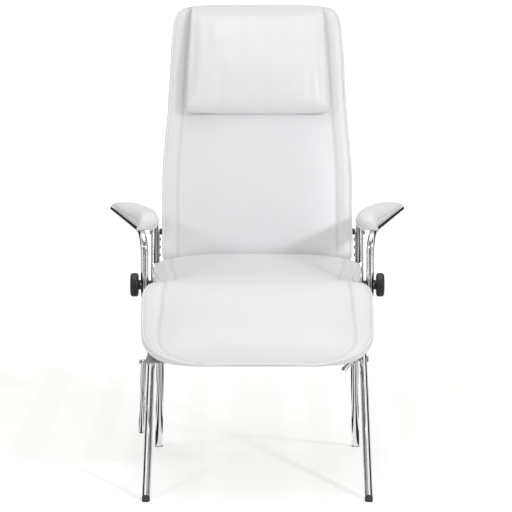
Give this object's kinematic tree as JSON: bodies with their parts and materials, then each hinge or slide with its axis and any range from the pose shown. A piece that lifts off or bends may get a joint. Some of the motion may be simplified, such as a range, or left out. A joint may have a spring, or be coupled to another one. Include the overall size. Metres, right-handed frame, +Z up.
{
  "type": "reclining armchair",
  "caption": "High-backed reclining lounge armchair in white leatherette on crossed chrome tube legs, with padded arms, a hinged leg rest, clamp knobs and a head pillow.",
  "frame": {"origin": "centre of the chair's box, on the floor", "axes": "+Z up, the chair faces -Y, +X to the right seen from its front"},
  "size_m": [0.701, 0.8024, 1.0748],
  "materials": {
    "leatherette": "smooth, slightly glossy",
    "chrome": "mirror plated",
    "black_plastic": "satin",
    "tip_rubber": "matt",
    "plywood": "bare",
    "steel": "zinc plated"
  },
  "bodies": {
    "frame": {"arm_end_caps": "black_plastic", "arm_pad_screws": "steel", "crossing_bolts": "steel", "crossing_nuts": "steel", "crossing_washers": "steel", "front_cross_bar": "chrome", "front_foot_tips": "tip_rubber", "left_arm_board": "plywood", "left_arm_pad": "leatherette", "left_clamp_bush": "black_plastic", "left_clamp_nut": "steel", "left_front_leg_post": "chrome", "left_pivot_pin": "steel", "left_rear_leg_arm": "chrome", "peg_strips": "steel", "pivot_bushes": "black_plastic", "pivot_pegs": "steel", "post_caps": "black_plastic", "rear_cross_bar": "chrome", "rear_foot_tips": "tip_rubber", "right_arm_board": "plywood", "right_arm_pad": "leatherette", "right_clamp_bush": "black_plastic", "right_clamp_nut": "steel", "right_front_leg_post": "chrome", "right_pivot_pin": "steel", "right_rear_leg_arm": "chrome"},
    "back": {"back_board": "plywood", "back_cushion": "leatherette", "back_hinge_rail": "steel", "back_rear_pad": "leatherette", "bearing_block_screws": "steel", "left_bearing_block": "steel", "right_bearing_block": "steel"},
    "seat": {"left_side_plate": "steel", "leg_rest_pins": "steel", "right_side_plate": "steel", "seat_board": "plywood", "seat_cushion": "leatherette", "seat_hinge_lugs": "steel", "seat_hinge_pins": "steel", "side_plate_screws": "steel"},
    "leg_rest": {"left_prop_pin": "steel", "leg_rest_board": "plywood", "leg_rest_cushion": "leatherette", "leg_rest_ears": "steel", "prop_rail": "steel", "right_prop_pin": "steel"},
    "left_prop": {"left_prop_leg": "chrome", "left_prop_tip": "tip_rubber"},
    "right_prop": {"right_prop_leg": "chrome", "right_prop_tip": "tip_rubber"},
    "left_knob": {"left_clamp_knob": "black_plastic", "left_clamp_stud": "steel"},
    "right_knob": {"right_clamp_knob": "black_plastic", "right_clamp_stud": "steel"},
    "head_pillow": {"head_pillow": "leatherette"}
  },
  "joints": [
    {"name": "back_recline", "type": "hinge", "parent": "frame", "child": "back", "pos_m": [0, 0.22969, 0.53], "axis": [-1, 0, 0], "range_deg": [0, 30]},
    {"name": "seat_link", "type": "hinge", "parent": "back", "child": "seat", "pos_m": [0, 0.20212, 0.43387], "axis": [-1, 0, 0], "range_deg": [-30, 0]},
    {"name": "leg_rest_tilt", "type": "hinge", "parent": "seat", "child": "leg_rest", "pos_m": [0, -0.20931, 0.44], "axis": [-1, 0, 0], "range_deg": [0, 35]},
    {"name": "left_prop_swing", "type": "hinge", "parent": "leg_rest", "child": "left_prop", "pos_m": [-0.2515, -0.33316, 0.31177], "axis": [-0.9985, -0.0447, 0.0305], "range_deg": [-21.6, 15.7]},
    {"name": "right_prop_swing", "type": "hinge", "parent": "leg_rest", "child": "right_prop", "pos_m": [0.206, -0.33316, 0.31177], "axis": [-1, 0, 0], "range_deg": [0, 37.3]},
    {"name": "left_knob_turn", "type": "hinge", "parent": "frame", "child": "left_knob", "pos_m": [-0.2555, -0.16931, 0.459], "axis": [-1, 0, 0], "range_deg": [0, 360]},
    {"name": "right_knob_turn", "type": "hinge", "parent": "frame", "child": "right_knob", "pos_m": [0.2555, -0.16931, 0.459], "axis": [1, 0, 0], "range_deg": [0, 360]},
    {"name": "pillow_lift", "type": "slide", "parent": "back", "child": "head_pillow", "axis": [0, 0.2756, 0.9613], "range_m": [0, 0.12]}
  ],
  "couplings": [
    {"joint": "seat_link", "follows": "back_recline", "ratio": -1}
  ]
}
